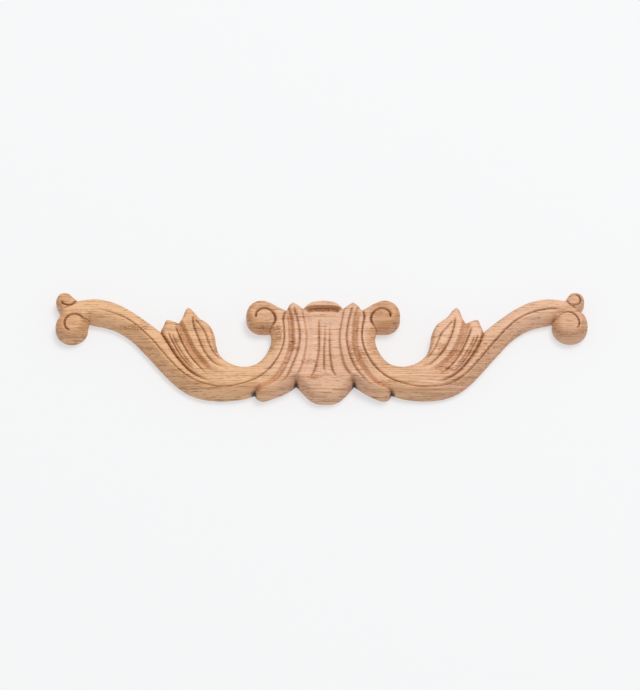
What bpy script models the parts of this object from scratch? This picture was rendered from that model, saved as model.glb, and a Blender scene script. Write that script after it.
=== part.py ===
"""Carved oak applique: a long scroll ornament with a flat back, carved from one piece of wood.

The ornament lies on its flat back, +X along its length, +Y up its face and +Z out of the face.
One half is drawn in millimetres, as an outline and the lines that the carver cut. The half is
mirrored, and the middle sits a little to the right of the arms' centre, as on the hand-made piece.
"""
import math

import bmesh
import bpy
import numpy as np
from mathutils import Vector
from mathutils.geometry import delaunay_2d_cdt

MM = 0.001

# Driving dimensions, in millimetres
HALF_LENGTH = 199.7      # from the middle to the outside of an end volute
CENTRE_OFFSET = 1.25     # how far the middle sits to the right
OFFSET_FULL_WITHIN = 70.0
OFFSET_GONE_BY = 150.0
STRAP_RISE = 1.6         # the strap stands above the panel and the stem
LIP_RISE = 2.4           # the lip overhangs the top of the panel
LIP_ABOVE = 20.0         # the lip lies above this line
PAD_SLOPE = 1.5          # width of the slope that leads up on to the strap and the lip
LOWEST_FACE = 5.0        # no cut goes deeper than this above the back
BLEND_POWER = 2.4        # how softly cuts that cross run into one another
LIP_END_SLOPE = 3.0      # width over which the lip's two ends run out

# A gouge's or a V tool's cut, in millimetres
V_BOTTOM = 0.4           # half the width of the shallowest V cut
V_SPREAD = 0.55          # how much wider it gets for each millimetre of depth
V_TOOL_FROM = 0.6        # a deeper sharp cut than this has slopes that rise steeply from it
V_SLOPE_POWER = 1.8
GOUGE_SLOPE_POWER = 1.7
FADED_SHARE = 0.12       # how much of a cut is left where it fades out

# The rounding of the edge is a superellipse with these powers
ROUND_POWER = 2.2
ROUND_ROOT = 0.62

# The coarsest step along a curve that measures well enough, and the same along the outline
MEASURE_STEP = 1.0
OUTLINE_MEASURE_STEP = 0.5
TINY = 1e-6

# Corners that the outline and the carved lines share
BULB_NOTCH = (21.6, -29.6)
FOOT_NOTCH = (51.0, -37.0)
ARM_CORNER = (174.4, 22.7)
CURL_NOTCH = (195.2, 28.9)
CURL_CORNER = (183.0, 38.8)
LEAF_CROTCH = (121.2, 12.8)
LEAF_VALLEY = (107.5, 18.4)
SCROLL_CORNER = (39.8, 14.3)
STRAP_NOTCH = (29.2, 30.3)
LIP_NOTCH = (15.2, 31.6)

# Round bosses: centre and radius
END_VOLUTE = ((HALF_LENGTH - 12.9, 18.4), 12.9)
CURL = ((191.4, 38.8), 6.9)
CENTRE_SCROLL = ((45.9, 26.0), 11.85)


# Spacing of the solid's points
OUTLINE_STEP = 2.9
CARVED_STEP = 2.5
CARVED_ROW = 1.3         # rows of points on both sides of a carved line
EDGE_ROWS = (1.0, 2.7, 5.2)   # rows of points inside the outline
FILL_STEP = 4.2
GAP_ON_LINE = 1.05       # closest that two points may be, row by row
GAP_AT_EDGE = 1.5
GAP_IN_FILL = 2.4
GAP_TO_OUTLINE = 0.75
SAME_POINT = 1e-5
SHARP_EDGE = 50          # degrees


def arc_from(circle, start, end):
    """Points every 20 degrees or so on a circle, from start to end in degrees."""
    (x, y), radius = circle
    count = max(2, round(abs(end - start) / 20))
    angles = [math.radians(start + (end - start) * k / count) for k in range(count + 1)]
    return [(x + radius * math.cos(a), y + radius * math.sin(a)) for a in angles]


# The outline of the right half, from the bottom of the bulb round to the top of the lip.
# Each run is one smooth curve, and two runs meet in a corner.
OUTLINE = [
    [(0, -44.3), (8.6, -42.6), (15.4, -37.4), BULB_NOTCH],
    [BULB_NOTCH, (29.4, -35.2), (40, -40.9), (45.6, -41.9), (48.6, -39.6), FOOT_NOTCH],
    [FOOT_NOTCH, (60, -39.8), (75, -41.4), (90, -39.9), (102, -34.8), (113, -25.3), (130, -5.2),
     (143, 9.2), (156, 17.8), ARM_CORNER],
    [ARM_CORNER] + arc_from(END_VOLUTE, 175, 400) + [CURL_NOTCH],
    [CURL_NOTCH] + arc_from(CURL, -30, 150) + [CURL_CORNER],
    [CURL_CORNER, (170, 40.6), (158, 38.7), (146, 33.1), (132, 22.8), LEAF_CROTCH],
    [LEAF_CROTCH, (118.4, 19.4), (116, 23.3), (112, 21.6), LEAF_VALLEY],
    [LEAF_VALLEY, (104.9, 23.7), (102.6, 31), (100.4, 32.6), (97.5, 30.3), (92.5, 23.9), (85, 17.9),
     (81.3, 10), (79.8, 1), (76.9, -7.2), (70, -13.3), (60, -16.1), (50, -13.8), (43, -5.9),
     (39.2, 3.5), (39.1, 11), SCROLL_CORNER],
    [SCROLL_CORNER] + arc_from(CENTRE_SCROLL, -90, 100) + [(38, 35.6), (33, 32.4), STRAP_NOTCH],
    [STRAP_NOTCH, (25.6, 34.4), (22.8, 35.6), (19.4, 34.4), LIP_NOTCH],
    [LIP_NOTCH, (9, 36.6), (0, 38.3)],
]

# The carved lines: points, depth of the sharp cut, depth of the broad slopes beside it, width of the
# slope on the left and on the right of the line as it is drawn, and how far it fades in at its start
# and out at its end. These are drawn on the right half and mirrored.
CARVED = {
    "rim": ([(181, 29.1), (172, 29.9), (158, 27.0), (145, 20.5), (130, 5.9), (115, -13.5), (105, -24.4),
             (93, -32.2), (78, -35.4), (64.8, -34.3), (49.1, -28.4), (38.7, -19.1), (31.8, -6.9),
             (29.2, 3.2), (29.4, 13.5), (31.2, 23.5), STRAP_NOTCH], 1.3, 0.9, 2.6, 3.6, 7, 4),
    "end_spiral": ([ARM_CORNER, (179.8, 24.2), (184.4, 25.4), (188.6, 24.2), (191.4, 21), (192.4, 17.2),
                    (191.2, 13.6), (187.8, 11.8)], 1.7, 1.1, 3.4, 1.6, 0, 1.5),
    "curl_root": ([CURL_CORNER, (185.7, 35.3), (188.8, 32.7), (192, 30.5), CURL_NOTCH],
                  1.2, 1.2, 2.2, 2.6, 0, 0),
    "leaf_arm": ([LEAF_CROTCH, (116.2, 1), (109.8, -10.2), (100.4, -21.8), (90.5, -29), (82.3, -32.8)],
                 1.2, 1.3, 4.6, 1.6, 0, 22),
    "leaf_fine": ([(116.4, 10), (113.5, 3.1), (107.3, -9.4), (100, -18.9), (94, -24.6)],
                  0.8, 0.5, 1.5, 1.4, 4, 10),
    "leaf_finer": ([(113.4, 9), (110, -0.2), (101.6, -14.4), (94.8, -22.3)],
                   0.7, 0.4, 1.4, 1.5, 4, 10),
    "leaf_outer": ([(110.9, 15.5), (105.7, 0.9), (99.8, -10.3), (93.6, -18.4), (85, -27.4)],
                   0.9, 0.7, 1.9, 2.2, 3, 14),
    "leaf_hollow": ([LEAF_VALLEY, (103, 6.1), (97.9, -5.4), (91.5, -14.3), (84.8, -21), (76.5, -25)],
                    0.5, 2.7, 5.0, 2.6, 0, 20),
    "leaf_vein": ([(98.7, 25.5), (97.4, 14.9), (93, 1.9), (88, -8.1), (80.4, -16.7), (70.2, -21.5)],
                  1.1, 1.1, 2.2, 3.2, 4, 16),
    "leaf_flank": ([(97.4, 22.5), (92.5, 14.8), (88.4, 8.6), (85.7, 1), (82.7, -5.6), (78.4, -12)],
                   0.9, 0.8, 2.0, 2.2, 3, 6),
    "scroll_spiral": ([(50.4, 21), (50, 25.2), (47.4, 28.2), (43.3, 29.5), (39.2, 27.9), (36.4, 24),
                       (36.0, 19.4), SCROLL_CORNER], 1.7, 1.2, 1.6, 3.2, 1.5, 0),
    "panel_edge": ([LIP_NOTCH, (13.6, 22), (11.4, 7), (11.8, -3), (13.4, -12.4), (16.6, -22.6), BULB_NOTCH],
                   0.3, 1.1, 1.6, 4.2, 10, 0),
    "strap_line": ([(21.8, 31), (20.6, 25), (18.8, 17.4), (17.5, 3.4), (20.5, -12.4), (27.3, -26.9),
                    (35.6, -36)], 1.2, 0.4, 1.6, 1.6, 4, 3),
    "strap_hollow": ([(26.8, 30), (24.8, 22), (23.7, 10), (24.1, -4.5), (29.6, -19.6), (39.4, -32.3),
                      FOOT_NOTCH], 1.2, 1.7, 2.6, 2.4, 10, 0),
    "lip_recess": ([(0, 28.5), (6, 28.3), (10.3, 27.3), (13.4, 25.8), (16, 24.4)],
                   1.8, 1.0, 0.9, 3.4, 0, 4),
    "curl_spiral": ([(188.2, 39.6), (190.2, 40.8), (193, 40.4), (194.3, 38), (193, 35.4), (190.2, 33.8),
                     (187.4, 34.4)], 1.8, 1.0, 1.6, 1.6, 2, 3),
    "middle_flute": ([(0, 23), (0, -22.5)], 0.9, 0.5, 1.8, 1.8, 4, 6),
    "side_flute": ([(4.3, 22), (4.3, -5), (5.0, -14), (8.3, -23.5)], 1.0, 0.6, 1.8, 1.8, 3, 8),
}
LIP_LINE = CARVED["lip_recess"][0]

# Stations of the uncut body: x, y, crown height, width of the rounding at the edge, edge height
STATIONS = [
    (0, -32, 17.8, 12, 5.5), (13, -31, 16.6, 10, 5.5), (0, -10, 13.6, 5, 7), (0, 18, 13.2, 5, 8),
    (0, 34, 13.8, 5.5, 8), (12, 32, 13.4, 5, 8), (20, 26, 15.0, 4, 9), (21, 4, 15.6, 4, 9),
    (27, -18, 15.4, 5, 7), (40, -35, 14.4, 6.5, 5.5), (34, 4, 15.0, 6, 7), (34, 22, 15.6, 4.5, 8.5),
    (46, 26, 17.0, 5.5, 9), (46, -24, 15.4, 7, 6.5), (60, -28, 15.2, 8, 5.5), (78, -37, 14.6, 10, 5.5),
    (76, -22, 15.6, 6, 6), (90, -6, 15.6, 4, 7), (98, 10, 15.2, 3.5, 8), (100, 27, 12.4, 3.5, 8),
    (113, 16, 11.8, 3, 8), (106, -4, 14.0, 4, 8), (104, -29, 14.8, 10, 5.5), (118, -10, 14.4, 10, 5.5),
    (134, 9, 14.0, 9, 5.5), (150, 26, 13.8, 8, 5.5), (166, 31, 13.8, 7, 6), (180, 31, 14.4, 6.5, 6.5),
    (186.4, 18.6, 16.4, 8, 5.5), (191.6, 38.6, 13.4, 4.5, 7),
]
STATION_REACH = 9.0      # how far a station's heights carry


def smooth_run(points, step):
    """Points about step apart on a centripetal Catmull-Rom curve through the given points."""
    p = np.array(points, float)
    p = np.vstack([2 * p[0] - p[1], p, 2 * p[-1] - p[-2]])
    knots = np.concatenate([[0.0], np.cumsum(np.linalg.norm(np.diff(p, axis=0), axis=1) ** 0.5)])
    run = []
    for i in range(1, len(p) - 2):
        t0, t1, t2, t3 = knots[i - 1:i + 3]
        count = max(1, round(np.linalg.norm(p[i + 1] - p[i]) / step))
        for k in range(count):
            t = t1 + (t2 - t1) * k / count
            a1 = ((t1 - t) * p[i - 1] + (t - t0) * p[i]) / (t1 - t0)
            a2 = ((t2 - t) * p[i] + (t - t1) * p[i + 1]) / (t2 - t1)
            a3 = ((t3 - t) * p[i + 1] + (t - t2) * p[i + 2]) / (t3 - t2)
            b1 = ((t2 - t) * a1 + (t - t0) * a2) / (t2 - t0)
            b2 = ((t3 - t) * a2 + (t - t1) * a3) / (t3 - t1)
            run.append(((t2 - t) * b1 + (t - t1) * b2) / (t2 - t1))
    run.append(p[-2])
    return np.array(run)


def half_outline(step):
    """The outline of the right half as one row of points."""
    runs = [smooth_run(run, step) for run in OUTLINE]
    return np.vstack([run[:-1] for run in runs] + [runs[-1][-1:]])


def whole_outline(step):
    """The closed outline before the middle is shifted, symmetric about the middle."""
    right = half_outline(step)
    return np.vstack([right, (right[1:-1] * (-1, 1))[::-1]])


def nearest_on(line, points):
    """Distance to a polyline, the side of it (left is positive) and the length along it."""
    a, b = line[:-1], line[1:]
    span = b - a
    length = np.linalg.norm(span, axis=1)
    before = np.concatenate([[0.0], np.cumsum(length)[:-1]])
    best = np.full(len(points), np.inf)
    side = np.ones(len(points))
    along = np.zeros(len(points))
    for k in range(len(a)):
        rel = points - a[k]
        t = np.clip(rel @ span[k] / length[k] ** 2, 0, 1)
        away = rel - t[:, None] * span[k]
        d = np.hypot(away[:, 0], away[:, 1])
        closer = d < best
        best[closer] = d[closer]
        cross = span[k, 0] * rel[closer, 1] - span[k, 1] * rel[closer, 0]
        side[closer] = np.where(cross >= 0, 1.0, -1.0)
        along[closer] = before[k] + t[closer] * length[k]
    return best, side, along, length.sum()


def ease(t):
    """Smooth step from 0 to 1."""
    t = np.clip(t, 0, 1)
    return t * t * (3 - 2 * t)


def near(line, reach, points):
    """Which points lie in the line's box, widened by reach."""
    low, high = line.min(axis=0) - reach, line.max(axis=0) + reach
    return np.all((points > low) & (points < high), axis=1)


def sharp_width(depth):
    """Half the width of a V tool's cut of this depth."""
    return V_BOTTOM + V_SPREAD * depth


def cut_depth(line, sharp, broad, left, right, fade_in, fade_out, points):
    """How deep a carved line cuts at each point: a V in the middle of slopes that ease out."""
    line = smooth_run(line, MEASURE_STEP)
    cut = np.zeros(len(points))
    close = near(line, max(left, right, sharp_width(sharp)), points)
    distance, side, along, total = nearest_on(line, points[close])
    share = np.clip(distance / np.where(side > 0, left, right), 0, 1)
    slopes = (1 - share) ** V_SLOPE_POWER
    if sharp < V_TOOL_FROM:
        slopes = (1 - share ** 2) ** GOUGE_SLOPE_POWER
    part = broad * slopes + sharp * np.clip(1 - distance / sharp_width(sharp), 0, 1)
    if fade_in:
        part *= ease(FADED_SHARE + (1 - FADED_SHARE) * along / fade_in)
    if fade_out:
        part *= ease(FADED_SHARE + (1 - FADED_SHARE) * (total - along) / fade_out)
    cut[close] = part
    return cut


def centre_offset(x):
    """How far a place at x is shifted, so that the middle sits to the right and the ends stay."""
    fade = (OFFSET_GONE_BY - np.abs(x)) / (OFFSET_GONE_BY - OFFSET_FULL_WITHIN)
    return CENTRE_OFFSET * np.clip(fade, 0, 1)


def depth_inside(half):
    """Distance to the outline, but smooth along the middle of an arm, where two edges are as near.

    Each bit of the outline counts by the inverse fifth power of its distance. Along a straight edge
    at distance d that sums to 4 / (3 d^4), which gives the distance back.
    """
    outline = whole_outline(OUTLINE_MEASURE_STEP)
    length = np.linalg.norm(np.diff(outline, axis=0, append=outline[:1]), axis=1)
    total = np.zeros(len(half))
    for (x, y), piece in zip(outline, length):
        square = (half[:, 0] - x) ** 2 + (half[:, 1] - y) ** 2 + TINY
        total += piece / (square * square * np.sqrt(square))
    smooth = (3 / 4 * total) ** (-1 / 4)
    exact = nearest_on(half_outline(OUTLINE_MEASURE_STEP), half)[0]
    trust = ease(exact / (2 * OUTLINE_MEASURE_STEP) - 1)
    return exact + trust * (smooth - exact)


def face_height(half):
    """Height of the carved face over the back, at points of the right half."""
    weights = np.zeros(len(half))
    sums = np.zeros((len(half), 3))
    for x, y, crown, rounding, edge in STATIONS:
        w = np.exp(-((half[:, 0] - x) ** 2 + (half[:, 1] - y) ** 2) / (2 * STATION_REACH ** 2)) + TINY
        weights += w
        sums += w[:, None] * np.array([crown, rounding, edge])
    crown, rounding, edge = (sums / weights[:, None]).T

    outward = 1 - np.clip(depth_inside(half) / rounding, 0, 1)
    rounded = (crown - edge) * (1 - (1 - outward ** ROUND_POWER) ** ROUND_ROOT)

    panel = nearest_on(smooth_run(CARVED["panel_edge"][0], MEASURE_STEP), half)
    hollow = nearest_on(smooth_run(CARVED["strap_hollow"][0], MEASURE_STEP), half)
    on_strap = ease(panel[0] * panel[1] / PAD_SLOPE) * ease(-hollow[0] * hollow[1] / PAD_SLOPE)
    on_strap *= half[:, 0] < FOOT_NOTCH[0]
    lip = nearest_on(smooth_run(LIP_LINE, MEASURE_STEP), half)
    on_lip = ease(lip[0] * lip[1] / PAD_SLOPE) * ease((LIP_NOTCH[0] - half[:, 0]) / LIP_END_SLOPE)
    on_lip *= half[:, 1] > LIP_ABOVE

    cuts = rounded ** BLEND_POWER
    for line in CARVED.values():
        cuts += cut_depth(*line, half) ** BLEND_POWER
    height = crown + STRAP_RISE * on_strap + LIP_RISE * on_lip - cuts ** (1 / BLEND_POWER)
    return np.maximum(height, np.minimum(edge, LOWEST_FACE))


def inside(outline, points):
    """Which points lie inside the closed outline."""
    x, y = points[:, 0], points[:, 1]
    result = np.zeros(len(points), bool)
    for (x0, y0), (x1, y1) in zip(outline, np.roll(outline, -1, axis=0)):
        crosses = (y0 > y) != (y1 > y)
        at = x0 + (y - y0) * (x1 - x0) / (y1 - y0 if y1 != y0 else 1.0)
        result ^= crosses & (x < at)
    return result


def shifted(line, distance):
    """The line moved sideways, to its left by distance."""
    along = np.gradient(line, axis=0)
    along /= np.linalg.norm(along, axis=1)[:, None]
    return line + distance * np.column_stack([-along[:, 1], along[:, 0]])


def half_points():
    """The outline of the right half, and the points inside it that carry the carving.

    The most telling rows come first, and a point too near to an earlier one is left out.
    """
    outline = half_outline(OUTLINE_STEP)
    lines = [smooth_run(cut[0], CARVED_STEP) for cut in CARVED.values()]
    rows = [(line, GAP_ON_LINE) for line in lines]
    rows += [(shifted(line, side * CARVED_ROW), GAP_ON_LINE) for line in lines for side in (1, -1)]
    rows += [(shifted(outline, inset), GAP_AT_EDGE) for inset in EDGE_ROWS]
    across = np.arange(0, HALF_LENGTH, FILL_STEP)
    up = np.arange(outline[:, 1].min(), outline[:, 1].max(), FILL_STEP * math.sqrt(3) / 2)
    for j, y in enumerate(up):
        stagger = FILL_STEP / 2 * (j % 2)
        rows.append((np.column_stack([across + stagger, np.full(len(across), y)]), GAP_IN_FILL))

    edge = half_outline(MEASURE_STEP)
    closed = whole_outline(MEASURE_STEP)
    kept = outline.copy()
    for row, gap in rows:
        clear = inside(closed, row) & (nearest_on(edge, row)[0] > GAP_TO_OUTLINE) & (row[:, 0] >= 0)
        for point in row[clear]:
            if np.min(np.hypot(*(kept - point).T)) > gap:
                kept = np.vstack([kept, point])
    return outline, kept[len(outline):]


def make_applique():
    """One closed solid: the carved face, the sawn side wall and the flat back."""
    half_edge, half_inner = half_points()
    edge = np.vstack([half_edge, (half_edge[1:-1] * (-1, 1))[::-1]])
    off_middle = half_inner[half_inner[:, 0] > SAME_POINT]
    places = np.vstack([edge, half_inner, off_middle * (-1, 1)])
    places[:, 0] += centre_offset(places[:, 0])
    boundary = list(range(len(edge)))
    keep_inside = 1
    found = delaunay_2d_cdt([Vector(p) for p in places], [], [boundary], keep_inside, SAME_POINT)
    flat, triangles = np.array([tuple(v) for v in found[0]]), found[2]

    half = flat.copy()
    half[:, 0] = np.abs(flat[:, 0] - centre_offset(flat[:, 0]))
    heights = face_height(half)

    bm = bmesh.new()
    verts = [bm.verts.new((x * MM, y * MM, z * MM)) for (x, y), z in zip(flat, heights)]
    for triangle in triangles:
        bm.faces.new([verts[i] for i in triangle])
    rim = [e for e in bm.edges if e.is_boundary]
    walls = bmesh.ops.extrude_edge_only(bm, edges=rim)["geom"]
    for lower in walls:
        if isinstance(lower, bmesh.types.BMVert):
            lower.co.z = 0.0
    back_edges = [e for e in walls if isinstance(e, bmesh.types.BMEdge)]
    bmesh.ops.contextual_create(bm, geom=back_edges)
    bmesh.ops.recalc_face_normals(bm, faces=bm.faces)

    mesh = bpy.data.meshes.new("applique")
    bm.to_mesh(mesh)
    bm.free()
    mesh.shade_smooth()
    mesh.set_sharp_from_angle(angle=math.radians(SHARP_EDGE))
    applique = bpy.data.objects.new("applique", mesh)
    bpy.context.collection.objects.link(applique)
    return applique


def oak():
    """Bare oak."""
    material = bpy.data.materials.new("oak")
    material.use_nodes = True
    shader = material.node_tree.nodes["Principled BSDF"]
    shader.inputs["Base Color"].default_value = (0.62, 0.36, 0.21, 1)
    shader.inputs["Roughness"].default_value = 0.65
    shader.inputs["Metallic"].default_value = 0.0
    return material


for old in list(bpy.data.objects):
    bpy.data.objects.remove(old, do_unlink=True)
make_applique().data.materials.append(oak())
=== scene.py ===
"""A carved oak applique lying on a pale table, seen from below its lower edge and well above it."""
import math

import bpy
import numpy as np
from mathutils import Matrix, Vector


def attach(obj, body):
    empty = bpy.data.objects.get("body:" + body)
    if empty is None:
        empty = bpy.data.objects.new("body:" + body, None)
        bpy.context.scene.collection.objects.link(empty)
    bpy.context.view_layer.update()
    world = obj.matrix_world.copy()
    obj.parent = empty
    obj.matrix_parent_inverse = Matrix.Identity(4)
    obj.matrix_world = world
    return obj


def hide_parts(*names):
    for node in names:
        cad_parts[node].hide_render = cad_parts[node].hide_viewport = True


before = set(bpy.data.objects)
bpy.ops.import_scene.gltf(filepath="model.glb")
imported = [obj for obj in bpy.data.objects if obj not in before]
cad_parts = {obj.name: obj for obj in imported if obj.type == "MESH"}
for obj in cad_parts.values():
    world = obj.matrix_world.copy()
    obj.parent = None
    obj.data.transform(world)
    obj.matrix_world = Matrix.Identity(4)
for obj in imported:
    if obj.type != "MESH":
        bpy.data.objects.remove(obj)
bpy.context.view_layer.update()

MM = 0.001

# Driving dimensions, in millimetres
HALF_LENGTH = 199.7      # from the middle to the outside of an end volute
CENTRE_OFFSET = 1.25     # how far the middle sits to the right
OFFSET_FULL_WITHIN = 70.0
OFFSET_GONE_BY = 150.0
BULB_OFFSET = 1.7        # how much further the bulb sits
BULB_OFFSET_FROM, BULB_OFFSET_TO = -18.0, -34.0         # the heights where that begins and is full
BULB_OFFSET_FULL_WITHIN, BULB_OFFSET_GONE_BY = 24.0, 44.0
STRAP_RISE = 1.6         # the strap stands above the panel and the stem
LIP_RISE = 2.4           # the lip overhangs the top of the panel
BULB_RISE = 1.6          # the bulb steps up from the bottom of the panel
LIP_ABOVE = 20.0         # the lip lies above this line, and the bulb as far below the middle
PAD_SLOPE = 2.1          # width of the slope that leads up on to the strap
LIP_SLOPE = 0.7          # and on to the lip
BULB_SLOPE = 1.1         # and on to the bulb
LIP_END_SLOPE = 3.0      # width over which the ends of the lip and the bulb run out
LOWEST_FACE = 2.2        # no cut comes nearer to the back than this
BLEND_POWER = 2.4        # how softly cuts that cross run into one another
EDGE_POWERS = (2.2, 0.62)      # how the face rounds over at the edge
SHARP_DEPTH = 0.6        # a line with a V tool's cut deeper than this is a sharp one
SHARP_POWER = 1.8        # the slopes beside a sharp line meet in a valley
SOFT_POWER = 1.7         # and those of a soft one in a hollow
FULL_STROKE_DEPTH = 1.2  # a V tool's cut of this depth or more shows its whole stroke
TOOL_EDGE, TOOL_SPREAD = 0.35, 0.32     # half the width of a V tool's cut: at no depth, and more per depth
FADE_LEAST = 0.12        # share of its depth with which a line that fades begins
OUTLINE_STEP, LINE_STEP, ARC_STEP = 0.5, 1.0, 20     # between points, the last one in degrees
STEM_REACH = 38.0        # the stem lies within this distance of the middle
UPPER_SHARE = 0.4        # how much less the upper band of an arm is pared than the lower one
TINY = 1e-6

# Corners that the outline and the carved lines share
BULB_NOTCH = (21.6, -29.6)
FOOT_NOTCH = (51.0, -37.0)
ARM_CORNER = (174.4, 22.7)
CURL_CORNER = (183.0, 38.8)
LEAF_CROTCH = (121.2, 12.8)
LEAF_VALLEY = (107.5, 20.2)
SCROLL_CORNER = (39.8, 14.3)
RIGHT_STRAP_NOTCH = (29.4, 30.3)
LEFT_STRAP_NOTCH = (27.6, 30.1)
LIP_NOTCH = (15.2, 31.6)

# Round bosses: centre and radius
CENTRE_SCROLL = ((45.9, 26.0), 11.85)

# The two ends were cut by hand and differ: volute, curl and the notch between them
RIGHT_END = (((HALF_LENGTH - 13.4, 19.3), 13.4), ((190.8, 38.8), 6.7), (193.6, 29.9), RIGHT_STRAP_NOTCH)
LEFT_END = (((HALF_LENGTH - 12.4, 17.9), 12.2), ((192.8, 38.7), 6.7), (196.2, 30.3), LEFT_STRAP_NOTCH)


def arc_from(circle, start, end):
    """Points on a circle, from start to end in degrees."""
    (x, y), radius = circle
    count = max(2, round(abs(end - start) / ARC_STEP))
    angles = [math.radians(start + (end - start) * k / count) for k in range(count + 1)]
    return [(x + radius * math.cos(a), y + radius * math.sin(a)) for a in angles]


def outline_runs(volute, curl, curl_notch, strap_notch):
    """The outline of one half, from the bottom of the bulb round to the top of the lip.

    Each run is one smooth curve, and two runs meet in a corner.
    """
    return [
        [(0, -44.4), (5.5, -44.0), (10.4, -41.8), (15.8, -36.6), BULB_NOTCH],
        [BULB_NOTCH, (29, -35), (38.4, -39.6), (44.4, -41.6), (48.6, -40.6), FOOT_NOTCH],
        [FOOT_NOTCH, (60, -39.8), (75, -41.4), (90, -39.9), (102, -34.8), (113, -25.3), (130, -5.2),
         (143, 9.2), (156, 17.8), ARM_CORNER],
        [ARM_CORNER] + arc_from(volute, 175, 400) + [curl_notch],
        [curl_notch] + arc_from(curl, -30, 150) + [CURL_CORNER],
        [CURL_CORNER, (170, 40.6), (158, 38.7), (146, 33.1), (132, 22.8), LEAF_CROTCH],
        [LEAF_CROTCH, (118.8, 18.2), (117.2, 22.0), (115.4, 22.6), (112.8, 21.7), (110.4, 20.7), LEAF_VALLEY],
        [LEAF_VALLEY, (105.2, 23.9), (102.6, 31), (100.4, 32.6), (97.5, 30.3), (92.5, 23.9), (85, 17.9),
         (81.3, 10), (79.8, 1), (76.9, -7.2), (70, -13.3), (60, -16.1), (50, -13.8), (43, -5.9),
         (39.2, 3.5), (39.1, 11), SCROLL_CORNER],
        [SCROLL_CORNER] + arc_from(CENTRE_SCROLL, -90, 100) + [(38, 35.6), (33, 32.6), strap_notch],
        [strap_notch, (25.2, 34.4), (22.8, 36.3), (19.6, 34.8), LIP_NOTCH],
        [LIP_NOTCH, (9, 36.6), (0, 38.3)],
    ]


RUNS = {1: outline_runs(*RIGHT_END), -1: outline_runs(*LEFT_END)}

# The carved lines: points, depth of the sharp cut, depth of the broad slopes beside it, width of the
# slope on the left and on the right of the line as it is drawn, and how far it fades in at its start
# and out at its end. These are drawn on the right half and cut on both.
RIM = [(181, 29.1), (172, 29.9), (158, 27.0), (145, 20.5), (130, 5.9), (115, -13.5), (105, -24.4),
       (93, -32.2), (78, -35.4), (64.8, -34.3), (49.1, -28.4), (38.7, -19.1), (31.8, -6.9),
       (29.2, 3.2), (29.4, 13.5)]
CARVED = {
    "leaf_arm": ([LEAF_CROTCH, (116.2, 1), (109.8, -10.2), (100.4, -21.8), (90.5, -29), (82.3, -32.8)],
                 1.6, 2.2, 3.6, 1.8, 0, 22),
    "leaf_fine": ([(116.4, 10), (113.5, 3.1), (107.3, -9.4), (100, -18.9), (94, -24.6)],
                  0.9, 0.9, 1.6, 1.4, 4, 10),
    "leaf_finer": ([(113.4, 9), (110, -0.2), (101.6, -14.4), (94.8, -22.3)], 0.7, 0.7, 1.4, 1.5, 4, 10),
    "leaf_outer": ([(110.9, 15.5), (105.7, 0.9), (99.8, -10.3), (93.6, -18.4), (85, -27.4)],
                   1.1, 1.5, 2.2, 2.2, 3, 14),
    "leaf_hollow": ([LEAF_VALLEY, (103, 6.1), (97.9, -5.4), (91.5, -14.3), (84.8, -21), (76.5, -25)],
                    0.5, 3.2, 4.6, 2.8, 0, 20),
    "leaf_vein": ([(98.5, 24.4), (97.4, 14.9), (93, 1.9), (88, -8.1), (80.4, -16.7), (70.2, -21.5)],
                  1.1, 1.1, 2.2, 3.2, 4, 16),
    "leaf_flank": ([(97.2, 21.6), (92.5, 14.8), (88.4, 8.6), (85.7, 1), (82.7, -5.6), (79.0, -11),
                    (73.6, -15.6)], 0.9, 0.8, 2.0, 2.2, 3, 8),
    "leaf_root": ([(118.6, 7.5), LEAF_CROTCH], 0, 1.6, 2.0, 2.0, 4, 0),
    "scroll_spiral": ([(50.4, 21.2), (50, 25.2), (47.4, 28.2), (43.3, 29.5), (39.2, 27.9), (36.4, 24),
                       (36.0, 19.4), SCROLL_CORNER], 1.6, 0.7, 1.2, 2.4, 1.5, 0),
    "scroll_recess": ([(40.6, 28.8), (37, 25.4), (35.9, 20.6), (37.6, 16.6)], 1.2, 1.6, 1.2, 2.2, 4, 4),
    "panel_edge": ([LIP_NOTCH, (13.6, 22), (11.4, 7), (11.8, -3), (13.4, -12.4), (16.6, -22.6), BULB_NOTCH],
                   0, 0.7, 1.6, 4.4, 10, 0),
    "panel_foot": ([(0, -28.6), (8, -28.2), (15, -26.0)], 0, 1.1, 3.4, 1.6, 0, 5),
    "bulb_recess": ([(20.9, -26.2), BULB_NOTCH], 1.2, 4.4, 2.8, 3.0, 4.4, 0),
    "strap_line": ([(21.8, 31), (20.6, 25), (18.8, 17.4), (17.5, 3.4), (20.5, -12.4), (27.3, -26.9),
                    (35.6, -36)], 0.8, 1.1, 2.4, 2.2, 4, 3),
    "strap_hollow": ([(26.8, 30), (24.8, 22), (23.7, 10), (24.1, -4.5), (29.6, -19.6), (39.4, -32.3),
                      FOOT_NOTCH], 0.3, 1.7, 2.8, 3.0, 10, 0),
    "foot_recess": ([(46.4, -33.6), FOOT_NOTCH], 0.9, 3.2, 2.4, 2.8, 6.5, 0),
    "lip_recess": ([(0, 30.4), (6, 30.2), (10, 29.2), (13, 27.4)], 1.1, 0.8, 0.8, 1.6, 0, 3),
    "lip_floor": ([(0, 28.8), (8, 28.5), (12.4, 27.0)], 0, 2.6, 2.2, 1.7, 0, 3),
}
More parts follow.
